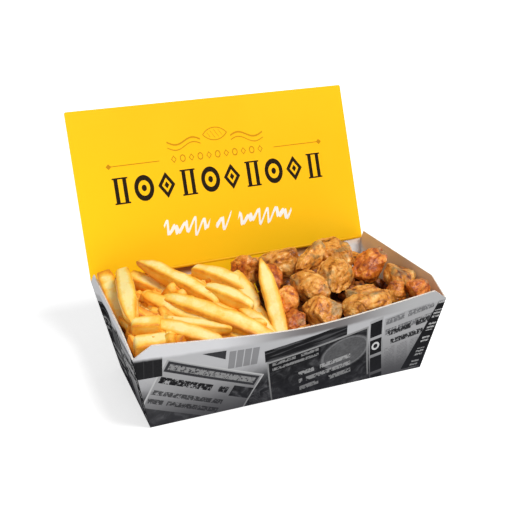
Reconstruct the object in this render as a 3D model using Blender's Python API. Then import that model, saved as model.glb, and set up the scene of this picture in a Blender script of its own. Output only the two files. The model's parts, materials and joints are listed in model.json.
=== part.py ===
"""Takeaway tray of folded board with a hinged lid, filled with fries and fried fish pieces.

The tray stands on its base with X along its long side, the front at -Y and the lid at the back.
The board is one closed sheet: a base, two bowed long walls and two straight end walls.
"""
import bmesh
import bpy
import math
import random

from mathutils import Matrix, Vector, noise

MM = 0.001

# The folded board
BOARD = 1.0 * MM
BASE_LENGTH = 209.4 * MM
BASE_DEPTH = 100.2 * MM
FRONT_LENGTH = 233.0 * MM
RIM_DEPTH = 141.2 * MM
FRONT_HEIGHT = 70.9 * MM
HINGE_HEIGHT = 68.0 * MM
LID_WIDTH = 235.0 * MM
LID_HEIGHT = 131.7 * MM
LID_LEAN = math.radians(17.7)
LID_CORNER = 1.5 * MM
LID_LIFT = 1.1 * MM

# The rim's outline: a notch at each front corner, an ear at each back corner
NOTCH_DEPTH = 10.0 * MM
NOTCH_ON_FRONT = 13.9 * MM
NOTCH_ON_END = 24.5 * MM
EAR_HEIGHT = 7.5 * MM
EAR_BACK = 8.7 * MM
EAR_INSET = 1.6 * MM
EAR_HEEL = 1.8 * MM

# How far the middle of each long wall bows out and dips at its rim
FRONT_BOW = 11.0 * MM
FRONT_DIP = 5.0 * MM
BACK_BOW = 6.0 * MM
BACK_DIP = 2.0 * MM
BOW_ROUND = 0.3
BOW_POWER = 1.5
LONG_STEPS = 16
END_STEPS = 4
WALL_ROWS = 5

TAB_WIDTH = 61.0 * MM
TAB_LENGTH = 32.0 * MM
TAB_CLEAR = 8.0 * MM
TAB_LEAN = math.radians(15.0)

# What fills the tray
GAP = 0.35 * MM
FLOOR = BOARD + GAP
FRIES_END = -14.0 * MM
FRY_WIDTH = 12.0 * MM
FRY_COUNT = 34
HEAP_ROWS = 2

# Fried fish pieces: place of the middle (x, y, z), length, width, height in mm, turn and tilt in degrees
FISH_PIECES = (
    (-2, 34, 70, 33, 27, 24, -60, 10),
    (4, -7, 74, 38, 20, 20, 84, 22),
    (21, 14, 78, 40, 30, 25, -25, 4),
    (38, 1, 81, 52, 20, 21, 42, 18),
    (66, 14, 78, 44, 33, 27, -80, -16),
    (93, 24, 69, 48, 22, 19, -65, -6),
    (87, -3, 70, 48, 27, 25, 32, 12),
    (101, -25, 64, 40, 24, 24, 80, 16),
    (49, -17, 72, 47, 34, 28, -62, -12),
    (23, -33, 72, 47, 29, 26, -55, -14),
    (0, -41, 68, 32, 26, 24, 40, 20),
    (63, -39, 66, 54, 17, 14, 5, -1),
    (1, -60, 61, 24, 19, 19, -5, 12),
    (20, -60, 64, 38, 29, 28, 7, 14),
    (3, -73, 56, 24, 15, 16, 6, 10),
    (55, -61, 63, 54, 26, 24, 11, 5),
    (86, -45, 62, 34, 21, 20, 23, 0),
    (99, -52, 65, 28, 20, 20, 22, 0),
)
PIECE_LUMPS = 0.16


class Dome:
    """A heap's smooth top: a peak that falls away to the sides, to the front and to the back."""

    def __init__(self, peak, fall_side, fall_front, fall_back):
        self.peak = Vector(peak) * MM
        self.fall_side, self.fall_front, self.fall_back = fall_side, fall_front, fall_back

    def falls(self, y):
        return self.fall_side, self.fall_front if y < self.peak.y else self.fall_back

    def height(self, x, y):
        side, ahead = self.falls(y)
        return self.peak.z - side * (x - self.peak.x) ** 2 - ahead * (y - self.peak.y) ** 2

    def normal(self, x, y):
        side, ahead = self.falls(y)
        return Vector((2 * side * (x - self.peak.x), 2 * ahead * (y - self.peak.y), 1)).normalized()


# The fries' heap, and the hidden heap of fish that the visible pieces lie on
FRIES_DOME = Dome((-64, 6, 74), 2.0, 2.2, 5.4)
FISH_DOME = Dome((38, 2, 66), 3.4, 3.6, 6.2)


def clear_scene():
    for obj in list(bpy.data.objects):
        bpy.data.objects.remove(obj, do_unlink=True)


def finish(name, bm, colour, roughness, smooth_angle=None):
    """An object from a bmesh, with a plain finish of its own."""
    bmesh.ops.recalc_face_normals(bm, faces=bm.faces)
    mesh = bpy.data.meshes.new(name)
    bm.to_mesh(mesh)
    bm.free()
    obj = bpy.data.objects.new(name, mesh)
    bpy.context.scene.collection.objects.link(obj)
    material = bpy.data.materials.new(name)
    material.use_nodes = True
    shader = material.node_tree.nodes["Principled BSDF"]
    shader.inputs["Base Color"].default_value = (*colour, 1)
    shader.inputs["Roughness"].default_value = roughness
    mesh.materials.append(material)
    if smooth_angle:
        mesh.shade_smooth()
        mesh.set_sharp_from_angle(angle=smooth_angle)
    return obj


def fan(bm, ring):
    """Closes a flat ring of points with triangles round its middle."""
    middle = bm.verts.new(sum((vertex.co for vertex in ring), Vector()) / len(ring))
    for vertex, beside in zip(ring, ring[1:] + ring[:1]):
        bm.faces.new((vertex, beside, middle))


def bow_share(share):
    """Share of a long wall's full bow, from 0 at one corner through 1 at its middle to 0 at the other."""
    side = 2 * share - 1
    return 1 - (math.hypot(side, BOW_ROUND) - BOW_ROUND) / (math.hypot(1, BOW_ROUND) - BOW_ROUND)


def wall_stations(feet, outline, steps, bow=(0, 0, 0)):
    """Columns (foot, rim, bow) along one wall. The outline is a list of (share along the wall, rim point)."""
    columns = []
    for (share, point), (next_share, next_point), count in zip(outline, outline[1:], steps):
        for step in range(count):
            part = step / count
            here = share + (next_share - share) * part
            foot = feet[0].lerp(feet[1], here)
            columns.append((foot, point.lerp(next_point, part), Vector(bow) * bow_share(here)))
    return columns


def tray_columns():
    """All columns, once round the tray from the front left corner."""
    feet = [
        Vector((x * BASE_LENGTH / 2, y * BASE_DEPTH / 2, 0)) for x, y in ((-1, -1), (1, -1), (1, 1), (-1, 1))
    ]
    drop = NOTCH_DEPTH / FRONT_HEIGHT
    corner_x = (FRONT_LENGTH - drop * (FRONT_LENGTH - BASE_LENGTH)) / 2
    corner_y = (RIM_DEPTH - drop * (RIM_DEPTH - BASE_DEPTH)) / 2
    kink_share = NOTCH_ON_END / RIM_DEPTH
    ear_share = 1 - EAR_BACK / RIM_DEPTH
    heel_share = 1 - EAR_HEEL / RIM_DEPTH
    notch_share = NOTCH_ON_FRONT / FRONT_LENGTH

    def front(side, x, z):
        return Vector((side * x, -RIM_DEPTH / 2, z))

    def end(side):
        notch = Vector((side * corner_x, -corner_y, FRONT_HEIGHT - NOTCH_DEPTH))
        kink = Vector((side * FRONT_LENGTH / 2, NOTCH_ON_END - RIM_DEPTH / 2, FRONT_HEIGHT))
        ear = Vector((side * (LID_WIDTH / 2 - EAR_INSET), RIM_DEPTH / 2 - EAR_BACK, HINGE_HEIGHT + EAR_HEIGHT))
        heel = Vector((side * LID_WIDTH / 2, RIM_DEPTH / 2 - EAR_HEEL, HINGE_HEIGHT))
        back = Vector((side * LID_WIDTH / 2, RIM_DEPTH / 2, HINGE_HEIGHT))
        return [(0, notch), (kink_share, kink), (ear_share, ear), (heel_share, heel), (1, back)]

    left, right = end(-1), end(1)
    chamfer = FRONT_LENGTH / 2 - NOTCH_ON_FRONT
    front_outline = [
        (0, left[0][1]),
        (notch_share, front(-1, chamfer, FRONT_HEIGHT)),
        (1 - notch_share, front(1, chamfer, FRONT_HEIGHT)),
        (1, right[0][1]),
    ]
    back_outline = [(0, right[-1][1]), (1, left[-1][1])]
    turned = [(1 - share, point) for share, point in reversed(left)]
    return (
        wall_stations((feet[0], feet[1]), front_outline, (2, LONG_STEPS, 2), (0, -FRONT_BOW, -FRONT_DIP))
        + wall_stations((feet[1], feet[2]), right, (2, END_STEPS, 1, 1))
        + wall_stations((feet[2], feet[3]), back_outline, (LONG_STEPS,), (0, BACK_BOW, -BACK_DIP))
        + wall_stations((feet[3], feet[0]), turned, (1, 1, END_STEPS, 2))
    )


def make_tray():
    bm = bmesh.new()
    columns = []
    for foot, rim, bow in tray_columns():
        shares = [row / WALL_ROWS for row in range(WALL_ROWS + 1)]
        columns.append([bm.verts.new(foot.lerp(rim, t) + bow * t**BOW_POWER) for t in shares])
    fan(bm, [column[0] for column in reversed(columns)])
    for column, beside in zip(columns, columns[1:] + columns[:1]):
        for row in range(WALL_ROWS):
            bm.faces.new((column[row], beside[row], beside[row + 1], column[row + 1]))
    tray = finish("tray", bm, (0.86, 0.85, 0.83), 0.55)
    solidify = tray.modifiers.new("Board", "SOLIDIFY")
    solidify.thickness = BOARD
    solidify.offset = -1
    solidify.use_even_offset = True


def leaning_panel(name, width, low, high, lean, rounded_end):
    """A yellow board panel, leaning back about the hinge line, which runs through its back face."""
    bm = bmesh.new()
    bmesh.ops.create_cube(bm, size=1)
    bmesh.ops.scale(bm, vec=(width, BOARD, high - low), verts=bm.verts)
    bmesh.ops.translate(bm, vec=(0, -BOARD / 2, (low + high) / 2), verts=bm.verts)
    corners = [
        edge
        for edge in bm.edges
        if abs(edge.verts[0].co.y - edge.verts[1].co.y) > BOARD / 2
        and abs(edge.verts[0].co.z - rounded_end) < BOARD / 2
    ]
    bmesh.ops.bevel(bm, geom=corners, offset=LID_CORNER, segments=3, profile=0.5, affect="EDGES")
    panel = finish(name, bm, (1.0, 0.61, 0.015), 0.4)
    panel.location = (0, RIM_DEPTH / 2, HINGE_HEIGHT)
    panel.rotation_euler = (-lean, 0, 0)


def make_lid():
    leaning_panel("lid_panel", LID_WIDTH, LID_LIFT, LID_HEIGHT, LID_LEAN, LID_HEIGHT)


def make_tab():
    """The tab runs down from the crease, inside the back wall."""
    leaning_panel("lid_tab", TAB_WIDTH, -TAB_LENGTH, -GAP, TAB_LEAN, -TAB_LENGTH)


def wall_inside(height, x, front):
    """How far the inner face of a long wall is from the tray's middle, at a height and at x."""
    top = FRONT_HEIGHT if front else HINGE_HEIGHT
    share = min(height / top, 1)
    bow_height = max(0, min((height - FLOOR) / (top - FLOOR), 1))
    bow = (FRONT_BOW if front else BACK_BOW) * bow_share(0.5 + x / LID_WIDTH) * bow_height**BOW_POWER
    return BASE_DEPTH / 2 + share * (RIM_DEPTH - BASE_DEPTH) / 2 + bow - 1.3 * BOARD - 4 * GAP


def end_inside(height):
    """How far the inner face of an end wall is from the middle, where that wall is steepest, at its ear."""
    share = min(height / (HINGE_HEIGHT + EAR_HEIGHT), 1)
    return BASE_LENGTH / 2 + share * (LID_WIDTH / 2 - EAR_INSET - BASE_LENGTH / 2) - 1.3 * BOARD - 2 * GAP


def back_inside(height, x):
    """How far back a thing may reach at a height and at x: to the wall, the tab or the lid."""
    if height > HINGE_HEIGHT - BACK_DIP - BOARD:
        return RIM_DEPTH / 2 - 3 * BOARD
    reach = wall_inside(height, x, False)
    if abs(x) < TAB_WIDTH / 2 + TAB_CLEAR:
        reach = min(reach, RIM_DEPTH / 2 - (HINGE_HEIGHT - height) * math.tan(TAB_LEAN) - 2 * BOARD)
    return reach


def fry_ridges():
    """The top fries, seen from above: middle, direction, half length and lift of each."""
    dice = random.Random(11)
    ridges = []
    for _ in range(FRY_COUNT):
        x = dice.uniform(-108, -20) * MM
        y = dice.uniform(-66, 62) * MM
        turn = math.radians(dice.gauss(-62, 34))
        ridges.append((x, y, math.cos(turn), math.sin(turn), dice.uniform(20, 38) * MM, dice.uniform(5, 12) * MM))
    return ridges


def fries_height(x, y, ridges):
    height = 0
    for mid_x, mid_y, along_x, along_y, half, lift in ridges:
        along = (x - mid_x) * along_x + (y - mid_y) * along_y
        across = (y - mid_y) * along_x - (x - mid_x) * along_y
        if abs(along) < half and abs(across) < FRY_WIDTH / 2:
            end = min(1, (half - abs(along)) / (FRY_WIDTH / 2))
            height = max(height, lift * end * math.sqrt(1 - (2 * across / FRY_WIDTH) ** 2))
    return FRIES_DOME.height(x, y) + height


def heap(name, low_x, high_x, top, columns, rows, colour):
    """A closed heap between two heights of x, against the walls, whose top follows a function."""
    bm = bmesh.new()

    def place(u, v, height):
        left = low_x(height)
        x = left + (high_x(height) - left) * u
        front, back = -wall_inside(height, x, True), back_inside(height, x)
        return Vector((x, front + (back - front) * v, height))

    grid = []
    for i in range(columns + 1):
        line = []
        for j in range(rows + 1):
            point = place(i / columns, j / rows, 0.06)
            for _ in range(3):
                point = place(i / columns, j / rows, top(point.x, point.y))
            line.append(bm.verts.new(point))
        grid.append(line)
    for i in range(columns):
        for j in range(rows):
            bm.faces.new((grid[i][j], grid[i + 1][j], grid[i + 1][j + 1], grid[i][j + 1]))
    ring = (
        [(i, 0) for i in range(columns)]
        + [(columns, j) for j in range(rows)]
        + [(i, rows) for i in range(columns, 0, -1)]
        + [(0, j) for j in range(rows, 0, -1)]
    )
    levels = [[grid[i][j] for i, j in ring]]
    for level in range(HEAP_ROWS - 1, -1, -1):
        share = level / HEAP_ROWS
        levels.append(
            [
                bm.verts.new(place(i / columns, j / rows, FLOOR + (grid[i][j].co.z - FLOOR) * share))
                for i, j in ring
            ]
        )
    for upper, lower in zip(levels, levels[1:]):
        for k in range(len(ring)):
            n = (k + 1) % len(ring)
            bm.faces.new((upper[k], lower[k], lower[n], upper[n]))
    fan(bm, levels[-1])
    return finish(name, bm, colour, 0.6, math.radians(50))


def make_fries():
    ridges = fry_ridges()
    heap(
        "fries",
        lambda height: -end_inside(height),
        lambda height: FRIES_END,
        lambda x, y: fries_height(x, y, ridges),
        26,
        36,
        (0.93, 0.62, 0.19),
    )


def make_fish_heap():
    heap(
        "fish_heap",
        lambda height: FRIES_END + 2 * GAP,
        end_inside,
        FISH_DOME.height,
        12,
        14,
        (0.42, 0.17, 0.05),
    )


class Piece:
    """One fried piece: a lumpy ellipsoid that its neighbours, the walls and the heap press flat."""

    def __init__(self, number, row):
        self.number = number
        self.middle = Vector(row[:3]) * MM
        turn = Matrix.Rotation(math.radians(row[6]), 3, "Z") @ Matrix.Rotation(-math.radians(row[7]), 3, "Y")
        self.form = turn @ Matrix.Diagonal(Vector(row[3:6]) * MM / 2)
        self.planes = []

    def reach(self, direction):
        """How far the ellipsoid reaches along a direction."""
        return (self.form.transposed() @ direction).length

    def press(self, other):
        """Adds the plane that keeps this piece off another where their ellipsoids would meet."""
        between = other.middle - self.middle
        distance = between.length
        between.normalize()
        mine, theirs = self.reach(between), other.reach(between)
        if (mine + theirs) * (1 + PIECE_LUMPS) > distance:
            share = mine / (mine + theirs)
            self.planes.append((self.middle + between * distance * share, between))

    def fits(self, point):
        if any((point - on).dot(out) > -GAP / 2 for on, out in self.planes):
            return False
        if point.y > back_inside(point.z, point.x) or point.y < -wall_inside(point.z, point.x, True):
            return False
        if point.x > end_inside(point.z) or point.x < FRIES_END + 2 * GAP:
            return False
        x, y = self.middle.xy
        ground = Vector((x, y, FISH_DOME.height(x, y)))
        return (point - ground).dot(FISH_DOME.normal(x, y)) > GAP

    def build(self):
        bm = bmesh.new()
        bmesh.ops.create_icosphere(bm, subdivisions=3, radius=1)
        for vertex in bm.verts:
            direction = vertex.co.copy()
            lump = noise.noise(direction * 1.3 + Vector((self.number * 7.3, 0, 0)))
            lump += 0.5 * noise.noise(direction * 3.1 + Vector((0, self.number * 5.1, 0)))
            full = self.form @ (direction * (1 + PIECE_LUMPS * lump))
            low, high = 0.05, 1.0
            if not self.fits(self.middle + full):
                for _ in range(22):
                    half = (low + high) / 2
                    if self.fits(self.middle + full * half):
                        low = half
                    else:
                        high = half
                full *= low
            vertex.co = self.middle + full
        return finish(f"fish_{self.number:02d}", bm, (0.67, 0.33, 0.1), 0.65, math.radians(60))


def make_fish_pieces():
    pieces = [Piece(number, row) for number, row in enumerate(FISH_PIECES, 1)]
    for piece in pieces:
        for other in pieces:
            if other is not piece:
                piece.press(other)
    for piece in pieces:
        piece.build()


clear_scene()
make_tray()
make_lid()
make_tab()
make_fries()
make_fish_heap()
make_fish_pieces()
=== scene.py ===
"""Looks for the fish and chips in their folded tray: the printed board, the fries and the fried fish.

All of it stands in the tray's own frame: X along the long side towards the fish, the front at -Y
and the lid at the back. Lengths are in metres.
"""

import json
import math
import random

import bpy
from mathutils import Matrix, Vector, noise
from mathutils.bvhtree import BVHTree


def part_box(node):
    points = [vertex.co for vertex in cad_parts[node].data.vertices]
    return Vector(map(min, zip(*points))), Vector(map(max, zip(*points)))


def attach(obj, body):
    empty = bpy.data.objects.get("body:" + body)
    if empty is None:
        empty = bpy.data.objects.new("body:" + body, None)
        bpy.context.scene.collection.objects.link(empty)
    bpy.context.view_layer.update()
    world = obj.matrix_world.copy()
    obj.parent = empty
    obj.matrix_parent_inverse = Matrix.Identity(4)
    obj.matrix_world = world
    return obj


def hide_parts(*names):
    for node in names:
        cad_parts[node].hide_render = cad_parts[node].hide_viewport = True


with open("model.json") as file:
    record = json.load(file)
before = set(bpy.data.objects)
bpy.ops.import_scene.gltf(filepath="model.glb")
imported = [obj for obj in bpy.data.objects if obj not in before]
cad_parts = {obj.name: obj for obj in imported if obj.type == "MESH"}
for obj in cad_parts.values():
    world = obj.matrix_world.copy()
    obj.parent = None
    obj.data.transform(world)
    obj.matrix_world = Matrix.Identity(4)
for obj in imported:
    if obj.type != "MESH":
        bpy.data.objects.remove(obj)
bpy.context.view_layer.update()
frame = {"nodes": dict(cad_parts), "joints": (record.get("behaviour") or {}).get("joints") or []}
noise.seed_set(1)  # otherwise noise vectors start from the clock and differ each run

MM = 0.001
HINGE = Vector(frame["joints"][0]["pos_m"])
LID_LEAN = math.radians(17.7)
TAB_LEAN = math.radians(15.0)
CREASE_RADIUS = 1.35 * MM
CREASE_SHORT = 0.2 * MM  # how far the crease stops short of the lid's sides

BASE_LENGTH = 209.4 * MM
BASE_DEPTH = 100.2 * MM
RIM_DEPTH = 2 * HINGE.y
RIM_HEIGHT = 70.9 * MM
TRAY_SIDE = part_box("tray")[1].x
WALL_LEAN = (10 * MM, 19 * MM)  # how far the end walls and the long walls lean out, floor to rim
FOOD_LEVEL = 60 * MM
FRIES_END = -14.0 * MM

# Fries on top: start and end (mm), width, height (mm), roll (degrees), share of the thickness
# left at each end, bend (mm)
FRIES_ON_TOP = (
    ((-108.5, 57, 76), (-107.5, -8, 59), 12.0, 11.5, 10, 0.95, 0.9, 1.0),
    ((-98, 32, 85), (-107, -38, 72), 12.5, 11.5, 8, 0.62, 0.25, 3.0),
    ((-86, 36, 89), (-43, -24, 70), 10.5, 11.0, 15, 0.18, 0.8, 2.0),
    ((-91, -6, 78), (-54, -46, 63), 12.5, 12.0, 30, 0.5, 0.8, -2.0),
    ((-80, -12, 76), (-20, -68, 55), 12.5, 12.0, 25, 0.45, 0.85, 3.5),
    ((-84, -36, 70), (-45, -58, 64), 9.5, 9.0, 12, 0.5, 0.3, -1.5),
    ((-91, -36, 67), (-54, -62, 58), 11.5, 12.0, 35, 0.75, 0.7, 1.0),
    ((-110.5, -12, 67), (-102, -35, 63), 8.5, 9.0, 0, 0.6, 0.7, 0.5),
    ((-108, -37, 70), (-89, -42, 69), 12.0, 12.0, 15, 0.85, 0.9, 0.0),
    ((-110, -52, 61), (-84, -52, 61), 13.5, 13.0, 20, 0.9, 0.8, 0.0),
    ((-108.5, -36, 63), (-104, -52, 52), 9.5, 10.0, 0, 0.8, 0.8, 0.0),
    ((-98, -5, 66), (-84, -11, 66), 8.5, 9.0, 20, 0.8, 0.8, 0.0),
    ((-93, 39, 77), (-72, 14, 69), 12.0, 11.5, 15, 0.85, 0.8, 1.0),
    ((-82, 36, 72), (-66, -4, 67), 11.0, 11.0, 40, 0.8, 0.8, -1.0),
    ((-63, 24, 77), (-42, -14, 68), 11.5, 11.0, 25, 0.7, 0.8, 2.0),
    ((-48, 19, 82), (-15, -17, 69), 13.5, 12.0, 10, 0.6, 0.85, 2.5),
    ((-22, 4, 78), (-17, -28, 66), 12.0, 11.5, 20, 0.9, 0.8, 1.0),
    ((-48, -9, 77), (-23, -38, 68), 12.0, 11.0, 10, 0.7, 0.6, 1.5),
    ((-29, -32, 66), (-18, -66, 55), 10.5, 10.5, 20, 0.7, 0.85, 1.0),
    ((-5.5, -12, 93), (-12, -66, 55), 11.5, 11.0, 12, 0.12, 0.95, 0.0),
    ((-49, -42, 60), (-31, -66, 52), 11.0, 11.0, 20, 0.8, 0.85, 0.0),
    ((-20, -40, 63), (-22, -64, 53), 8.0, 9.0, 0, 0.6, 0.8, 1.0),
    ((-72, 44, 66), (-48, 20, 64), 11.0, 11.0, 15, 0.8, 0.8, 0.0),
    ((-36, 44, 66), (-26, 8, 67), 11.0, 11.0, 15, 0.7, 0.8, 0.0),
    ((-101, 8, 68), (-88, -26, 62), 11.5, 11.5, 15, 0.8, 0.8, 0.0),
    ((-13, 22, 69), (-19, -34, 64), 11.0, 11.0, 10, 0.7, 0.8, 1.0),
    ((-17, -24, 63), (-19, -60, 55), 11.0, 11.0, 15, 0.8, 0.8, 0.0),
)
# How brown the starts of some of them are, by their place in the list
BROWN_STARTS = {0: 1.1, 1: 0.1, 3: 0.3, 12: 0.4, 18: 0.3}
END_TAPER = 22 * MM  # length over which an end thins and browns
END_ROUNDING = 1.6 * MM

FRIES_UNDER = 190
FRIES_UNDER_DEPTH = 15 * MM  # their middles lie this far under the top of the heap
FRIES_ROOM = 7 * MM  # and this far in from the walls

# Fried pieces: how red (0 to 1), then skin patches as a direction from the middle and a size
FISH_LOOKS = {
    "fish_01": (0.55, ((0.2, -0.5, 0.6), 0.12)),
    "fish_02": (0.95, ((0.6, -0.5, -0.3), 0.3)),
    "fish_03": (0.3, ((0.5, -0.6, -0.3), 0.5), ((-0.9, 0.1, 0.3), 0.2)),
    "fish_04": (0.1, ((0.4, 0.1, 0.7), 0.55), ((0.2, -0.7, 0.2), 0.3)),
    "fish_05": (0.3, ((-0.1, -0.6, 0.5), 0.5), ((0.5, -0.2, 0.7), 0.25)),
    "fish_06": (0.15, ((0.8, -0.3, 0.5), 0.4)),
    "fish_07": (0.85, ((0.8, 0.1, 0.6), 0.42)),
    "fish_08": (0.35, ((-0.3, -0.2, 0.8), 0.5), ((0.7, -0.4, 0.4), 0.4)),
    "fish_09": (0.3, ((-0.6, -0.5, 0.1), 0.55), ((0.8, -0.5, 0.1), 0.3)),
    "fish_10": (0.35, ((-0.8, 0.1, 0.5), 0.5), ((0.6, -0.6, -0.1), 0.45)),
    "fish_11": (0.8, ((0.7, -0.3, 0.3), 0.3)),
    "fish_12": (0.15, ((-0.8, -0.4, 0.1), 0.5)),
    "fish_13": (0.9, ((0.1, -0.7, 0.5), 0.35)),
    "fish_14": (0.4, ((0.55, -0.5, 0.45), 0.62)),
    "fish_15": (0.45, ((0.9, 0.1, 0.2), 0.3)),
    "fish_16": (0.25, ((0.1, -0.1, 0.9), 0.6), ((-0.3, -0.9, -0.2), 0.4)),
    "fish_17": (0.55, ((0.3, 0.3, 0.8), 0.4)),
    "fish_18": (0.9, ((0.5, -0.1, 0.7), 0.25)),
}
FISH_PRESSED = {"fish_06": 0.55, "fish_12": 0.75}  # share left of the height of two flatter pieces
FISH_SHRINK = 0.95  # leaves room for the crust inside each piece's solid
FISH_UNDER = 70
FISH_LEAST_LEVEL = 50 * MM  # no broken bits where the heap is lower than this


# ---------------------------------------------------------------- finishes


def join(tree, slot, value):
    if isinstance(value, Value):
        tree.links.new(value.socket, slot)
    else:
        slot.default_value = value


class Value:
    """A shader socket that can stand in a sum."""

    def __init__(self, tree, socket):
        self.tree, self.socket = tree, socket

    def math(self, operation, *values):
        node = self.tree.nodes.new("ShaderNodeMath")
        node.operation = operation
        for slot, value in zip(node.inputs, values):
            join(self.tree, slot, value)
        return Value(self.tree, node.outputs[0])

    def __add__(self, other):
        return self.math("ADD", self, other)

    def __sub__(self, other):
        return self.math("SUBTRACT", self, other)

    def __rsub__(self, other):
        return self.math("SUBTRACT", other, self)

    def __mul__(self, other):
        return self.math("MULTIPLY", self, other)

    def __truediv__(self, other):
        return self.math("DIVIDE", self, other)

    def __mod__(self, other):
        return self.math("FLOORED_MODULO", self, other)

    def __pow__(self, other):
        return self.math("POWER", self, other)

    def __lt__(self, other):
        return self.math("LESS_THAN", self, other)

    def __gt__(self, other):
        return self.math("GREATER_THAN", self, other)

    def __or__(self, other):
        return self.math("MAXIMUM", self, other)

    def __abs__(self):
        return self.math("ABSOLUTE", self)

    def whole(self):
        return self.math("FLOOR", self)

    def wave(self):
        return self.math("SINE", self)

    def root(self):
        return self.math("SQRT", self)

    __radd__, __rmul__ = __add__, __mul__


class Finish:
    """One material, built up on its Principled shader."""

    def __init__(self, name, **constants):
        self.material = bpy.data.materials.new(name)
        self.material.use_nodes = True
        self.tree = self.material.node_tree
        self.shader = self.tree.nodes["Principled BSDF"]
        self.give(constants)

    def give(self, values):
        for slot, value in values.items():
            join(self.tree, self.shader.inputs[slot.replace("_", " ")], value)

    def add(self, kind, settings=None, values=None, output=0):
        node = self.tree.nodes.new("ShaderNode" + kind)
        for name, setting in (settings or {}).items():
            if name == "stops":
                self.set_stops(node.color_ramp, setting)
            else:
                setattr(node, name, setting)
        for slot, value in (values or {}).items():
            join(self.tree, node.inputs[slot], value)
        if isinstance(output, tuple):
            return [Value(self.tree, node.outputs[index]) for index in output]
        return Value(self.tree, node.outputs[output])

    @staticmethod
    def set_stops(ramp, stops):
        while len(ramp.elements) < len(stops):
            ramp.elements.new(0.5)
        for element, (place, colour) in zip(ramp.elements, stops):
            element.position = place
            element.color = (*colour, 1)

    def place(self):
        return self.add("TexCoord", output=3)

    def xyz(self, vector):
        return self.add("SeparateXYZ", values={0: vector}, output=(0, 1, 2))

    def vector(self, x, y, z=0.0):
        return self.add("CombineXYZ", values={0: x, 1: y, 2: z})

    def noise(self, where, scale, detail=2.0, roughness=0.5, distortion=0.0):
        values = {"Vector": where, "Scale": scale, "Detail": detail}
        values |= {"Roughness": roughness, "Distortion": distortion}
        return self.add("TexNoise", values=values)

    def cells(self, where, scale, feature="F1"):
        return self.add("TexVoronoi", {"feature": feature}, {"Vector": where, "Scale": scale})

    def attribute(self, name):
        return self.add("Attribute", {"attribute_name": name}, output=2)

    def step(self, value, low, high):
        """Smoothly from 0 at low to 1 at high."""
        values = {"Value": value, "From Min": low, "From Max": high}
        return self.add("MapRange", {"interpolation_type": "SMOOTHSTEP"}, values)

    def ramp(self, value, *stops):
        return self.add("ValToRGB", {"stops": stops}, {0: value})

    def mix(self, share, first, second):
        first, second = [c if isinstance(c, Value) else (*c, 1) for c in (first, second)]
        return self.add("Mix", {"data_type": "RGBA"}, {0: share, 6: first, 7: second}, 2)

    def bump(self, height, depth, strength=1.0):
        values = {"Strength": strength, "Distance": depth, "Height": height}
        self.give({"Normal": self.add("Bump", values=values)})


# Colours of the lid's print and of the board, and the tan of painted warm shade on its inside
INK = (0.008, 0.004, 0.0005)
SKETCH = (0.45, 0.17, 0.0)
SCRIBBLE = (0.95, 0.93, 0.86)
YELLOW = (1.0, 0.485, 0.004)
BOARD_WHITE = (0.83, 0.81, 0.80)
WARM_SHADE_TAN = (0.80, 0.49, 0.26)


def near(value, middle, half):
    return abs(value - middle) < half


def panel(u, v, middle_u, middle_v, half_u, half_v):
    return near(u, middle_u, half_u) * near(v, middle_v, half_v)


def turned(u, v, corner, degrees):
    """Distances along and down a sheet that lies turned, from its top left corner."""
    turn = math.radians(degrees)
    across, up = u - corner[0], v - corner[1]
    along = across * math.cos(turn) + up * math.sin(turn)
    down = across * math.sin(turn) - up * math.cos(turn)
    return along, down


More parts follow.
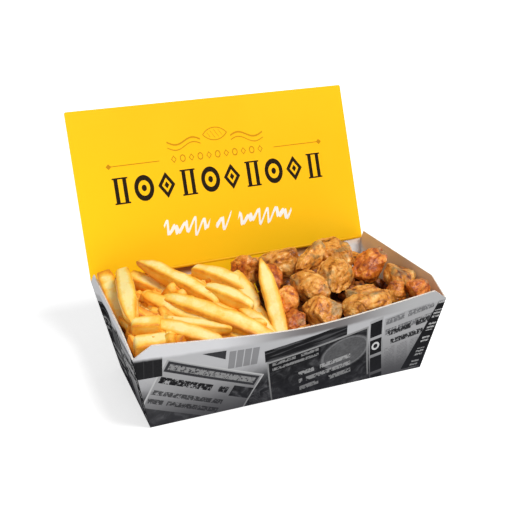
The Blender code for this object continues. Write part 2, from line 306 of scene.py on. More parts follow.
def lid_print(across, up):
    """Masks over the lid, in mm across and up it: frieze, thin lines, sketch and white scribble."""
    # A dark frieze of stems, rings and diamonds in turn
    frieze_pitch, frieze_level, frieze_half = 18.4, 66.0, 10.5
    cell = (across + 5 * frieze_pitch) / frieze_pitch
    part = cell % 1.0 - 0.5
    kind = cell.whole() % 3.0
    level = (up - frieze_level) / frieze_half
    inside = near(across, 0, 91.5) * (abs(level) < 1.0)
    stems = near(abs(part), 0.19, 0.085) | (abs(part) < 0.34) * (abs(level) > 0.88)
    reach = ((part * 2.3) ** 2.0 + level**2.0).root()
    ring = near(reach, 0.79, 0.20) | (reach < 0.25)
    leaf = abs(part) * 2.6 + abs(level)
    diamond = near(leaf, 0.78, 0.22) | (leaf < 0.28)
    frieze = inside * (stems * (kind < 0.5) + ring * near(kind, 1.0, 0.5) + diamond * (kind > 1.5))

    # A small row of rings and diamonds between two rules with diamond ends
    row_level, row_half = 85.7, 3.1
    small = (across + 40.7) / 7.4
    spot = small % 1.0 - 0.5
    tall = (up - row_level) / row_half
    round_mark = near(((spot * 3.1) ** 2.0 + tall**2.0).root(), 0.84, 0.16)
    slanted = near(abs(spot) * 3.2 + abs(tall), 0.82, 0.18)
    odd = (small.whole() % 2.0) > 0.5
    row = panel(across, up, 0, row_level, 40.5, row_half) * (round_mark * odd + slanted * (odd < 0.5))
    rules = near(abs(across), 69.5, 20.5) * near(up, row_level, 0.36)
    tips = (abs(abs(across) - 90.0) + abs(up - row_level)) < 2.3

    # Two flourishes beside a leaf-like oval
    sideways = abs(across)
    swell = ((sideways - 12.0) / 4.6).wave()
    crest = 98.5 + swell * 2.6 + sideways * 0.03
    ribbon = near(up, crest, 0.75) | near(up, crest - 3.0 - sideways * 0.04, 0.5)
    flourish = ribbon * near(sideways, 27.0, 14.0)
    lens_high = (across**2.0 + (up - 95.0) ** 2.0).root()
    lens_low = (across**2.0 + (up - 110.0) ** 2.0).root()
    lens = lens_high | lens_low
    oval = near(lens, 12.6, 0.45)
    scales = near((across + up * 0.6) % 3.6, 1.8, 0.3) * (lens < 11.0)
    sketch = flourish | oval | scales

    # A white scribble low on the lid
    slant = across - (up - 30.0) * 0.35
    swing = (slant * 0.8).wave() * (3.6 + (slant * 0.21 + 1.0).wave() * 2.2)
    rise = swing + (slant * 0.33).wave() * 1.2
    stroke = near(up, 30.5 + rise, 1.3 + abs((slant * 0.8 + 1.57).wave()) * 2.1)
    gaps = (near(slant, -13.0, 3.0) | near(slant, 5.0, 3.5)) < 0.5
    script = stroke * near(across, 1.5, 55.0) * gaps
    return frieze, row | rules | tips, sketch, script


def lid_yellow(name, lean, printed):
    """Satin yellow board. Its own axes run along X and up the board from the hinge line."""
    finish = Finish(name, Specular_IOR_Level=0.12)
    shift = -(Matrix.Rotation(lean, 3, "X") @ HINGE)
    turn = {"Location": shift, "Rotation": (lean, 0, 0)}
    board = finish.add("Mapping", values={"Vector": finish.place(), **turn})
    x, _, z = finish.xyz(board)
    across, up = x / MM, z / MM
    cloud = finish.noise(board, 9.0, 3.0)
    low_left = finish.step(up + across * 0.35, 130.0, -20.0)
    colour = finish.mix(low_left, YELLOW, (1.0, 0.585, 0.004))
    colour = finish.mix(finish.step(cloud, 0.4, 0.8) * 0.4, colour, (1.0, 0.58, 0.012))
    # Painted shade: the yellow is darkened along the hinge line, in the crease.
    crease = finish.step(abs(up), 1.4, 0.2) * 0.5
    colour = finish.mix(crease, colour, (0.78, 0.34, 0.003))
    if printed:
        frieze, lines, sketch, script = lid_print(across, up)
        tired = finish.noise(board, 900.0, 2.0)
        colour = finish.mix(sketch * 0.75, colour, SKETCH)
        colour = finish.mix(lines * 0.85, colour, SKETCH)
        colour = finish.mix(frieze * (0.97 + tired * 0.05), colour, INK)
        colour = finish.mix(script, colour, SCRIBBLE)
    fibre = finish.noise(board, 1400.0, 3.0, 0.6)
    finish.give({"Base Color": colour, "Roughness": 0.42 + fibre * 0.12})
    wave = finish.noise(board, 14.0, 1.0)
    finish.bump(fibre * 0.04 + wave, 0.5 * MM, 0.35)
    return finish.material


def words(finish, along, down, pitch, letter, seed):
    """Lines of illegible small type: rows of broken strokes."""
    row = (down / pitch).whole()
    strokes = finish.vector(along / letter, down / (letter * 1.6) + row * 7.31, seed)
    grain = finish.noise(strokes, 1.0, 3.0, 0.8)
    gap = finish.noise(finish.vector(along / (letter * 4.5), row * 3.17 + seed, 2.0), 1.0, 0.0)
    return near((down / pitch) % 1.0, 0.5, 0.27) * (grain > 0.45) * (gap > 0.33)


def type_block(finish, along, down, first_line, pitch, letter, seed, area):
    """Words that start at a line and stay in an area: its middle and its half size."""
    return words(finish, along, down - first_line, pitch, letter, seed) * panel(along, down, *area)


def oval_reach(along, down, middle, half):
    """1 on an oval's outline, less inside it."""
    sideways, downwards = (along - middle[0]) / half[0], (down - middle[1]) / half[1]
    return (sideways**2.0 + downwards**2.0).root()


def newsprint(finish, across, up):
    """The grey collage of sheets round the outside, in mm along the walls and up them."""
    where = finish.vector(across, up, 0.0)
    u = (across + 120.0) % 240.0 - 120.0
    v = up % 66.0
    mottle = finish.noise(where, 0.05, 4.0, 0.6)
    fine = finish.noise(where, 0.5, 3.0, 0.6)
    picture = finish.ramp(
        finish.noise(where, 0.11, 5.0, 0.62, 0.8),
        (0.38, (0.005, 0.005, 0.006)),
        (0.52, (0.022, 0.022, 0.024)),
        (0.64, (0.075, 0.075, 0.08)),
        (0.80, (0.18, 0.18, 0.18)),
    )
    uneven = v + mottle * 14.0
    paper = finish.mix(finish.step(uneven, 4.0, 52.0), (0.10, 0.098, 0.104), (0.31, 0.31, 0.315))
    dark, grey, pale = (0.007, 0.007, 0.008), (0.10, 0.10, 0.105), (0.50, 0.50, 0.50)
    soot = (0.03, 0.03, 0.033)
    colour = finish.mix(finish.step(uneven, 26.0, 54.0), picture, (0.40, 0.40, 0.41))

    # A pale sheet on the right: large grey type, a heading and small columns
    along, down = turned(u, v, (63.0, 56.0), 9.0)
    colour = finish.mix(near(along, 24.0, 24.0) * near(down, 30.0, 30.0), colour, paper)
    large = type_block(finish, along, down, -1.0, 10.0, 1.6, 3.0, (21.5, 10.0, 20.0, 9.5))
    colour = finish.mix(large * 0.85, colour, grey)
    head = type_block(finish, along, down, 11.5, 9.0, 2.2, 5.0, (21.0, 20.0, 17.5, 8.0))
    colour = finish.mix(head * 0.95, colour, dark)
    columns = near(down, 43.0, 13.5) * near((along - 1.0) % 10.5, 4.8, 4.2)
    colour = finish.mix(words(finish, along, down, 1.5, 0.7, 8.0) * columns * 0.6, colour, grey)

    # A strip of dark boxes with a ring, left of it
    along, down = turned(u, v, (51.0, 55.0), 11.0)
    strip = near(along, 5.4, 5.4) * near(down, 28.0, 30.0)
    boxes = near(along, 5.4, 4.6) * near(down % 17.5, 8.0, 7.3)
    curl = near(((along - 5.2) ** 2.0 + ((down - 25.0) * 0.8) ** 2.0).root(), 2.4, 0.7)
    colour = finish.mix(strip, colour, finish.mix(boxes, paper, dark))
    colour = finish.mix(curl, colour, pale)

    # A dark slip and narrow columns, left of the middle
    slip = near(u, -62.0, 8.0) * (v < 57.0) * ((v - 57.0 + (u + 70.0) * 0.5) > 0.0)
    colour = finish.mix(slip, colour, soot)
    columns = panel(u, v, -41.5, 47.5, 10.5, 8.0) * near((u + 52.0) % 5.3, 2.6, 2.3)
    colour = finish.mix(columns * 0.7, colour, (0.13, 0.13, 0.135))

    # A dark sheet in the middle: a streaked wedge over it, a pictured plate and pale type
    along, down = turned(u, v, (-24.0, 38.0), 11.0)
    over = near(along, 29.0, 30.0) * near(down, -6.0, 6.5) * ((along * 0.2 - down) > 1.0)
    streaks = finish.vector(along * 0.03, down * 0.35)
    streak = finish.step(finish.noise(streaks, 1.0, 2.0), 0.5, 0.62)
    colour = finish.mix(over, colour, finish.mix(streak * 0.5, dark, grey))
    sheet = near(along, 38.0, 38.0) * near(down, 24.0, 24.5)
    edge = sheet * (near(along, 38.0, 36.9) * near(down, 25.0, 23.8) < 0.5)
    colour = finish.mix(sheet, colour, finish.mix(0.5, picture, dark))
    plate = oval_reach(along, down, (58.0, 17.0), (19.0, 15.0))
    dish = finish.step(plate, 1.08, 0.92) * 0.3 + near(plate, 0.93, 0.05) * 0.2
    colour = finish.mix(sheet * dish * (0.5 + fine), colour, (0.23, 0.23, 0.235))
    bright = type_block(finish, along, down, 18.5, 7.4, 2.3, 12.0, (42.0, 30.0, 20.0, 11.2))
    colour = finish.mix(bright * 0.75, colour, (0.34, 0.34, 0.34))
    colour = finish.mix(panel(along, down, 20.5, 6.0, 18.5, 5.0), colour, dark)
    bright = type_block(finish, along, down, 0.9, 5.0, 2.0, 15.0, (20.5, 6.0, 17.0, 4.8))
    colour = finish.mix(bright * 0.85, colour, (0.22, 0.22, 0.22))
    colour = finish.mix(edge * 0.85, colour, (0.26, 0.26, 0.26))

    # A pale sheet on the left: a dark bar of type, two headings and a picture below them
    along, down = turned(u, v, (-92.5, 57.5), -24.0)
    sheet = near(along, 36.5, 37.5) * near(down, 38.0, 38.5)
    edge = sheet * (near(along, 36.5, 36.4) * near(down, 39.0, 38.4) < 0.5)
    colour = finish.mix(sheet, colour, finish.mix(0.1, paper, (0.12, 0.12, 0.125)))
    colour = finish.mix(edge * 0.6, colour, pale)
    colour = finish.mix(panel(along, down, 36.5, 6.0, 35.0, 4.4), colour, soot)
    bright = type_block(finish, along, down, 1.7, 8.6, 2.0, 21.0, (36.5, 6.0, 33.0, 4.2))
    colour = finish.mix(bright * 0.8, colour, (0.26, 0.26, 0.26))
    head = type_block(finish, along, down, 12.5, 10.0, 2.8, 31.0, (28.0, 18.0, 26.0, 5.2))
    colour = finish.mix(head, colour, dark)
    head = type_block(finish, along, down, 24.6, 7.4, 2.0, 35.0, (28.0, 32.0, 27.0, 7.4))
    colour = finish.mix(head * 0.8, colour, dark)
    colour = finish.mix(panel(along, down, 65.0, 17.5, 8.0, 4.8), colour, picture)
    colour = finish.mix(sheet * (down > 42.0) * 0.8, colour, picture)

    # Black blocks at the left end, and a dark wedge with a few bright strokes at the right one
    bars = near(u % 6.0, 3.0, 2.8) * 0.05 + 0.95
    block = (u < -96.0) * panel(u, v, -106.0, 52.0, 12.0, 8.5) * bars
    colour = finish.mix(block, colour, (0.012, 0.012, 0.013))
    wedge = ((u - 90.0 - (v - 9.0) * 0.36) > 0.0) * (v > 2.0)
    colour = finish.mix(wedge, colour, dark)
    spark = wedge * near(u - v * 0.25, 97.0, 3.2) * near(v % 11.0, 5.0, 3.4)
    colour = finish.mix(spark * words(finish, u, v, 3.0, 1.1, 40.0), colour, (0.35, 0.35, 0.35))
    return finish.mix(fine * 0.07, colour, (0.16, 0.16, 0.165)), mottle


def board_outside(name, has_band):
    """Grey newspaper print, with a pale band under the rim where it has one; painted shade greys the
    band and darkens the foot.
    """
    finish = Finish(name, Specular_IOR_Level=0.0)
    sheet = finish.add("UVMap", {"uv_map": "sheet"})
    x, y, _ = finish.xyz(sheet)
    across, up = x * 1000.0, y * 1000.0
    colour, mottle = newsprint(finish, across, up)
    if has_band:
        band = finish.step(up + mottle * 3.0, 59.0, 62.5)
        # Painted shade: the pale band is grey instead of board white, darker towards the right.
        rim = finish.mix(finish.step(across, -70.0, 80.0), (0.57, 0.57, 0.585), (0.36, 0.36, 0.365))
        # The band is darker still in the middle of the front.
        on_front = finish.step(abs(across), 117.0, 115.0)
        darker_middle = finish.step(abs(across - 12.0), 75.0, 5.0) * on_front
        colour = finish.mix(band, colour, finish.mix(darker_middle, rim, (0.15, 0.14, 0.14)))
        shade = finish.step(up, 30.0, 0.0) * 0.5
        colour = finish.mix(shade, colour, (0.02, 0.02, 0.024))
    fibre = finish.noise(finish.place(), 1300.0, 3.0, 0.6)
    wave = finish.noise(finish.place(), 16.0, 1.0)
    finish.give({"Base Color": colour, "Roughness": 0.50 + fibre * 0.14})
    finish.bump(fibre * 0.05 + wave, 0.6 * MM, 0.35)
    return finish.material


def board_inside():
    """White board with grease stains low down, painted warm shade in tan on the end walls and a
    painted shadow under the lid.
    """
    finish = Finish("board_inside")
    place = finish.place()
    x, y, z = finish.xyz(place)
    sideways, height = abs(x) / MM, z / MM
    # Painted warm shade: the end walls above the food are tinted tan, paler higher up and towards the
    # front.
    above_food = finish.step(height - y * 250.0, 44.0, 52.0)
    ends = finish.step(sideways + height * 0.02, 103.0, 108.0) * above_food
    # Painted shadow: a brown strip on the back wall under the lid's lower edge, fading out towards
    # the ends.
    lid_shadow = finish.step(height, 57.0, 62.5) * finish.step(y / MM, 58.0, 66.0)
    fold = lid_shadow * finish.step(sideways, 106.0, 84.0)
    grease = finish.step(finish.noise(place, 60.0, 4.0, 0.7), 0.52, 0.72) * 0.30
    low = finish.step(height, 70.0, 20.0)
    colour = finish.mix(grease * low, BOARD_WHITE, (0.75, 0.60, 0.38))
    lit = finish.step(height - y * 100.0, 50.0, 68.0)
    tan = finish.mix(lit * 0.9, WARM_SHADE_TAN, (1.0, 0.78, 0.53))
    colour = finish.mix(ends * 0.9, colour, tan)
    colour = finish.mix(fold, colour, (0.42, 0.19, 0.05))
    fibre = finish.noise(place, 1300.0, 3.0, 0.6)
    finish.give({"Base Color": colour, "Roughness": 0.55 + fibre * 0.15})
    finish.bump(fibre, 0.05 * MM, 0.5)
    return finish.material


def board_edge():
    """The cut edge: thin grey and tan layers of fibre."""
    finish = Finish("board_edge", Roughness=0.8)
    place = finish.place()
    fibre = finish.noise(place, 700.0, 4.0, 0.7)
    layers = finish.step(fibre, 0.3, 0.7)
    finish.give({"Base Color": finish.mix(layers, (0.66, 0.56, 0.45), (0.85, 0.80, 0.74))})
    finish.bump(fibre, 0.1 * MM, 0.5)
    return finish.material


def fry_finish():
    """Fried potato: cream flats, golden edges, brown ends and corners, and painted shade on the sides
    and undersides.
    """
    finish = Finish(
        "fried_potato", Subsurface_Weight=0.18, Subsurface_Radius=(0.004, 0.002, 0.0008)
    )
    place = finish.place()
    browned = finish.attribute("browned")
    tone = finish.attribute("tone")
    cloud = finish.noise(place, 85.0, 4.0, 0.6)
    blotch = finish.noise(place, 330.0, 3.0, 0.6)
    level = browned * 0.75 + (cloud - 0.5) * 0.6 + (blotch - 0.5) * 0.3 + tone * 0.3
    colour = finish.ramp(
        level,
        (0.02, (1.0, 0.82, 0.34)),
        (0.22, (1.0, 0.66, 0.13)),
        (0.45, (0.98, 0.49, 0.035)),
        (0.70, (0.84, 0.31, 0.012)),
        (1.0, (0.55, 0.14, 0.006)),
    )
    finish.give({"Base Color": colour, "Roughness": 0.36 + blotch * 0.3})
    blister = finish.cells(place, 420.0, "SMOOTH_F1")
    grain = finish.noise(place, 1500.0, 2.0)
    finish.bump(blister * 0.5 + blotch * 0.6 + grain * 0.15, 0.7 * MM, 0.5)
    return finish.material


def crust_finish(name, painted_shade=0.0):
    """Fried fish: gold to red-brown crust, painted shade in its creases, grey-green skin and dark
    specks.
    """
    finish = Finish(name, Subsurface_Weight=0.06, Subsurface_Radius=(0.003, 0.0012, 0.0006))
    place = finish.place()
    crease, skin, red = [finish.attribute(key) for key in ("crease", "skin", "red")]
    cloud = finish.noise(place, 95.0, 5.0, 0.65, 0.3)
    grain = finish.noise(place, 420.0, 4.0, 0.65)
    # Painted shade: a darker copy of the crust, for pieces lying lower, shifts every level darker.
    level = crease * 0.6 + (cloud - 0.5) * 1.25 + (grain - 0.5) * 0.7 + (0.30 + painted_shade)
    gold = finish.ramp(
        level,
        (0.05, (1.0, 0.68, 0.28)),
        (0.26, (0.92, 0.45, 0.095)),
        (0.48, (0.72, 0.265, 0.028)),
        (0.70, (0.31, 0.085, 0.009)),
        (1.0, (0.055, 0.016, 0.006)),
    )
    rust = finish.ramp(
        level,
        (0.05, (0.98, 0.50, 0.12)),
        (0.30, (0.82, 0.25, 0.025)),
        (0.55, (0.50, 0.10, 0.009)),
        (0.80, (0.22, 0.040, 0.008)),
        (1.0, (0.040, 0.010, 0.006)),
    )
    patch = finish.noise(place, 60.0, 2.0)
    colour = finish.mix(finish.step(red + (patch - 0.5) * 1.3, 0.35, 0.85), gold, rust)
    hide = finish.ramp(
        grain * 0.6 + cloud * 0.4,
        (0.34, (0.045, 0.040, 0.024)),
        (0.45, (0.17, 0.135, 0.065)),
        (0.54, (0.40, 0.26, 0.10)),
        (0.66, (0.80, 0.48, 0.20)),
    )
    colour = finish.mix(skin, colour, hide)
    speck = finish.step(finish.cells(place, 300.0), 0.17, 0.08) * finish.step(patch, 0.45, 0.6)
    colour = finish.mix(speck * 0.75, colour, (0.03, 0.016, 0.012))
    finish.give({"Base Color": colour, "Roughness": 0.14 + grain * 0.42})
    crumb = finish.cells(place, 700.0, "SMOOTH_F1")
    dust = finish.noise(place, 1800.0, 3.0)
    finish.bump(grain + crumb * 0.35 + dust * 0.25, 0.9 * MM, 0.6)
    return finish.material


# ---------------------------------------------------------------- modelling helpers


def begin(operator, **settings):
    """A primitive on its own in edit mode."""
    bpy.ops.object.select_all(action="DESELECT")
    operator(**settings)
    obj = bpy.context.active_object
    bpy.ops.object.transform_apply(location=True, rotation=True, scale=True)
    bpy.ops.object.mode_set(mode="EDIT")
    return obj


def pick(obj, what, test):
    """Selects the faces whose middle, or the edges whose ends, pass a test, and nothing else."""
    bpy.ops.object.mode_set(mode="OBJECT")
    mesh = obj.data
    for group in (mesh.vertices, mesh.edges, mesh.polygons):
        group.foreach_set("select", [False] * len(group))
    if what == "faces":
        for face in mesh.polygons:
            face.select = test(face.center)
    else:
        for edge in mesh.edges:
            ends = [mesh.vertices[i].co for i in edge.vertices]
            edge.select = test(*ends)
    bpy.ops.object.mode_set(mode="EDIT")


def end_editing(obj, name, material=None):
    bpy.ops.object.mode_set(mode="OBJECT")
    obj.name = obj.data.name = name
    if material:
        obj.data.materials.append(material)
    return obj


def apply_modifier(obj, kind, **settings):
    modifier = obj.modifiers.new(kind.title(), kind)
    for name, setting in settings.items():
        setattr(modifier, name, setting)
    bpy.context.view_layer.objects.active = obj
    bpy.ops.object.modifier_apply(modifier=modifier.name)


def take(obj):
    """Selects one object alone and makes it the active one."""
    bpy.ops.object.select_all(action="DESELECT")
    obj.select_set(True)
    bpy.context.view_layer.objects.active = obj


def own_copy(source, name):
    """A new object with its own copy of a mesh."""
    obj = bpy.data.objects.new(name, source.data.copy())
    obj.data.name = name
    obj.data.materials.clear()
    bpy.context.scene.collection.objects.link(obj)
    return obj


def merged_copy(node, name):
    """A copy of a frame node with its loose triangles merged."""
    obj = own_copy(frame["nodes"][node], name)
    take(obj)
    bpy.ops.object.mode_set(mode="EDIT")
    bpy.ops.mesh.select_all(action="SELECT")
    bpy.ops.mesh.remove_doubles(threshold=0.01 * MM)
    bpy.ops.object.mode_set(mode="OBJECT")
    return obj


def smooth(obj, degrees=None):
    take(obj)
    if degrees is None:
        bpy.ops.object.shade_smooth()
    else:
        bpy.ops.object.shade_smooth_by_angle(angle=math.radians(degrees))


def join_all(objects, name):
    bpy.ops.object.select_all(action="DESELECT")
    for obj in objects:
        obj.select_set(True)
    bpy.context.view_layer.objects.active = objects[0]
    bpy.ops.object.join()
    objects[0].name = objects[0].data.name = name
    return objects[0]


def write_attribute(mesh, name, values):
    attribute = mesh.attributes.new(name, "FLOAT", "POINT")
    attribute.data.foreach_set("value", values)


def set_out(piece, body, slot, *nodes):
    """Says which body a piece rides on and the nodes it stands for; its slot is not used."""
    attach(piece, body)
    if nodes:
        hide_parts(*nodes)


def tree_of(node):
    mesh = frame["nodes"][node].data
    return BVHTree.FromPolygons([v.co for v in mesh.vertices], [f.vertices for f in mesh.polygons])


def top_of(tree, x, y):
    """How high a frame node reaches at a place, or None beside it."""
    above_all = 300 * MM
    where = tree.ray_cast(Vector((x, y, above_all)), Vector((0, 0, -1)))[0]
    return where.z if where else None


# ---------------------------------------------------------------- the board


def wall_distance(point):
    """How far out a point lies towards the end walls and the long walls: 1 is at the wall."""
    share = point.z / RIM_HEIGHT
    end = abs(point.x) / (BASE_LENGTH / 2 + share * (TRAY_SIDE - BASE_LENGTH / 2))
    long = abs(point.y) / (BASE_DEPTH / 2 + share * (RIM_DEPTH - BASE_DEPTH) / 2)
    return end, long


def outward_of(point):
    """Out of the tray through the wall that a point is nearest to."""
    end, long = wall_distance(point)
    if end > long:
        return Vector((math.copysign(1, point.x), 0, 0))
    return Vector((0, math.copysign(1, point.y), 0))


def on_floor(face):
    return face.center.z < 2 * MM and abs(face.normal.z) > 0.8


def face_kind(face):
    """Which of the tray's materials a face has: printed outside, white inside or cut edge."""
    outside, inside, cut_edge = 0, 1, 2
    if face.center.z > 50 * MM and face.normal.z > 0.6:
        # The back rim's top takes the inside board, so the painted shadow under the lid lies on it
        # too.
        behind_food = face.center.y > 68 * MM
        return inside if behind_food else cut_edge
    if on_floor(face):
        return outside if face.normal.z < 0 else inside
    return outside if face.normal.dot(outward_of(face.center)) > 0 else inside


def sheet_place(corner, outward):
    """Where a corner of the tray lies on the printed sheet that wraps round it: along and up."""
    half_length, half_depth = 116.5 * MM, RIM_DEPTH / 2
    if outward.z:
        return corner.x, -0.05 + corner.y
    if outward.y < 0:
        return corner.x, corner.z
    if outward.x > 0:
        return half_length + half_depth + corner.y, corner.z
    if outward.y > 0:
        return 3 * half_length + 2 * half_depth - corner.x, corner.z
    return -half_length - half_depth - corner.y, corner.z


def make_tray():
    tray = merged_copy("tray", "tray_board")
    mesh = tray.data
    for material in (board_outside("board_outside", True), board_inside(), board_edge()):
        mesh.materials.append(material)
    layer = mesh.uv_layers.new(name="sheet")
    for face in mesh.polygons:
        face.material_index = face_kind(face)
        outward = Vector((0, 0, 1)) if on_floor(face) else outward_of(face.center)
        for loop in face.loop_indices:
            corner = mesh.vertices[mesh.loops[loop].vertex_index].co
            layer.data[loop].uv = sheet_place(corner, outward)
    smooth(tray, 22)
    set_out(tray, "box", "tray_board", "tray")


def make_lid():
    """The lid's panel: yellow face, printed back, pale cut edges."""
    lid = merged_copy("lid_panel", "lid_board")
    mesh = lid.data
    mesh.materials.append(board_outside("lid_outside", False))
    mesh.materials.append(lid_yellow("lid_inside", LID_LEAN, True))
    mesh.materials.append(board_edge())
    face_out = Vector((0, -math.cos(LID_LEAN), math.sin(LID_LEAN)))
    up_board = Vector((0, math.sin(LID_LEAN), math.cos(LID_LEAN)))
    layer = mesh.uv_layers.new(name="sheet")
    for face in mesh.polygons:
        facing = face.normal.dot(face_out)
        face.material_index = 1 if facing > 0.7 else 0 if facing < -0.7 else 2
        for loop in face.loop_indices:
            corner = mesh.vertices[mesh.loops[loop].vertex_index].co
            layer.data[loop].uv = (0.55 - corner.x, 0.07 + (corner - HINGE).dot(up_board))
    set_out(lid, "lid", "lid_board", "lid_panel")


def make_tab():
    """The tab that is tucked down inside the back wall, with the rolled crease above it."""
    tab = merged_copy("lid_tab", "tab_board")
    yellow = lid_yellow("tab_yellow", TAB_LEAN, False)
    tab.data.materials.append(yellow)
    low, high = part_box("lid_panel")
    width = high.x - low.x
    crease = begin(
        bpy.ops.mesh.primitive_cylinder_add,
        vertices=20,
        radius=CREASE_RADIUS,
        depth=width - 2 * CREASE_SHORT,
        location=HINGE,
        rotation=(0, math.pi / 2, 0),
    )
    half = width / 2 - CREASE_SHORT
    pick(crease, "edges", lambda a, b: abs(a.x - b.x) < 1e-6 and abs(abs(a.x) - half) < 1e-5)
    bpy.ops.mesh.bevel(offset=0.25 * MM, segments=2, affect="EDGES")
    end_editing(crease, "tab_crease", yellow)
    smooth(crease, 40)
    tab = join_all([tab, crease], "tab_board")
    set_out(tab, "box", "lid_board", "lid_tab")


# ---------------------------------------------------------------- the fries


def fry_form(rings, rounds, flats):
    """A straight fry one unit long, wide and high from X = 0, rounded along its edges."""
    form = begin(bpy.ops.mesh.primitive_cube_add, size=1, location=(0.5, 0, 0))
    pick(form, "edges", lambda a, b: abs(a.x - b.x) > 0.5)
    bpy.ops.mesh.bevel(offset=0.13, segments=rounds, affect="EDGES")
    for level in flats:
        for across in ((0, 1, 0), (0, 0, 1)):
            bpy.ops.mesh.select_all(action="SELECT")
            bpy.ops.mesh.bisect(plane_co=Vector(across) * level, plane_no=across)
    for ring in range(1, rings):
        part = 0.5 - 0.5 * math.cos(math.pi * ring / rings)
        bpy.ops.mesh.select_all(action="SELECT")
        bpy.ops.mesh.bisect(plane_co=(part, 0, 0), plane_no=(1, 0, 0))
    for side, swell in ((0, -0.008), (1, 0.008)):
        pick(form, "faces", lambda middle: abs(middle.x - side) < 1e-4)
        bpy.ops.mesh.inset(thickness=0.14)
        bpy.ops.transform.translate(value=(swell, 0, 0))
        bpy.ops.mesh.inset(thickness=0.08)
    return end_editing(form, "fry_form")


def lay_fry(form, ends, size, roll, left, bend, seed, tone):
    """A copy of a form between two points, thinned to the shares left at its ends, bent and rough."""
    fry = own_copy(form, "fry")
    mesh = fry.data
    (start, end), (width, height), (start_left, end_left) = ends, size, left
    along = (end - start).normalized()
    side = along.cross(Vector((0, 0, 1))).normalized()
    turn = Matrix.Rotation(math.radians(roll), 3, along)
    side, up = turn @ side, turn @ side.cross(along)
    length = (end - start).length
    drift = Vector((seed * 3.7, seed * 1.3, seed * 5.9))
    brown_start = BROWN_STARTS.get(seed, 0)
    browned = []
    for vertex in mesh.vertices:
        part, y, z = vertex.co
        near_start = max(0, 1 - part * length / END_TAPER)
        near_end = max(0, 1 - (1 - part) * length / END_TAPER)
        thin = 1 - (1 - start_left) * near_start**1.4 - (1 - end_left) * near_end**1.4
        tall = 1 - 0.75 * (1 - thin)
        near_tip = max(0, 1 - min(part, 1 - part) * length / END_ROUNDING)
        rounding = 1 - 0.16 * near_tip**2
        reach = side * y * width * thin + up * z * height * tall
        point = start + along * length * part + reach * rounding
        point += up * bend * 4 * part * (1 - part)
        broad, fine = noise.noise(point / (14 * MM) + drift), noise.noise(point / (5 * MM) + drift)
        outward = (side * y + up * z).normalized()
        vertex.co = point + outward * (broad * 1.3 + fine * 0.5) * 0.75 * MM

        corner = (2 * abs(y)) ** 2 * (2 * abs(z)) ** 2
        tip = max(near_start * (1 - start_left * 0.5), near_end * (1 - end_left * 0.5))
        spots = noise.noise(point / (8 * MM) + drift)
        # Painted shade: the sides and undersides are marked browner than the tops.
        below = 0.33 * (1 - outward.z)
        marks = 1.4 * corner**2 + 0.8 * tip**3 + brown_start * near_start**2
        browned.append(min(1, marks + 0.3 * spots + below))
    write_attribute(mesh, "browned", browned)
    write_attribute(mesh, "tone", [tone] * len(browned))
    return fry


def inside_tray(point, room):
    """Moves a point in from the walls."""
    share = point.z / RIM_HEIGHT
    half_x = BASE_LENGTH / 2 + share * WALL_LEAN[0] - room
    half_y = BASE_DEPTH / 2 + share * WALL_LEAN[1] - room
    return Vector((max(-half_x, min(point.x, half_x)), max(-half_y, min(point.y, half_y)), point.z))


def join_fries(form, fries, name, finish):
    bpy.data.objects.remove(form)
    joined = join_all(fries, name)
    joined.data.materials.append(finish)
    smooth(joined)
    return joined


def make_fries(finish):
    form = fry_form(26, 3, (-0.2, 0, 0.2))
    laid = []
    for number, (start, end, width, height, roll, *left, bend) in enumerate(FRIES_ON_TOP):
        ends = Vector(start) * MM, Vector(end) * MM
        size = width * MM, height * MM
        tone = noise.noise(Vector((number * 1.7, 0.3, 0))) * 0.5
        laid.append(lay_fry(form, ends, size, roll, left, bend * MM, number, tone))
    set_out(join_fries(form, laid, "fries_top", finish), "box", "fries", "fries")


def make_fries_under(finish):
    """Fries in every direction under the top ones, just below the heap's outline."""
    form = fry_form(9, 2, (0,))
    heap = tree_of("fries")
    dice = random.Random(5)
    laid = []
    for number in range(FRIES_UNDER):
        middle = Vector((dice.uniform(-110, -20) * MM, dice.uniform(-62, 58) * MM, FOOD_LEVEL))
        turn = math.radians(dice.gauss(-55, 38))
        half = dice.uniform(14, 34) * MM
        size = dice.uniform(9.5, 12.5) * MM, dice.uniform(9.5, 12) * MM
        roll, bend = dice.uniform(-40, 40), dice.gauss(0, 1.5) * MM
        tilt = dice.gauss(0, 5) * MM
        left = dice.uniform(0.4, 1), dice.uniform(0.4, 1)
        # Their tone runs darker than the top fries': painted shade for fries lying under others.
        tone = dice.gauss(0.35, 0.25)
        reach = Vector((math.cos(turn), math.sin(turn), 0)) * half
        ends = []
        for way in (-1, 1):
            spot = inside_tray(middle + reach * way, FRIES_ROOM)
            spot.x = min(spot.x, FRIES_END - FRIES_ROOM)
            level = top_of(heap, spot.x, spot.y) or FOOD_LEVEL
            spot.z = level - FRIES_UNDER_DEPTH + tilt * way
            ends.append(inside_tray(spot, FRIES_ROOM))
        if (ends[1] - ends[0]).length > 12 * MM:
            laid.append(lay_fry(form, ends, size, roll, left, bend, 50 + number, tone))
    set_out(join_fries(form, laid, "fries_under", finish), "box", "fries")


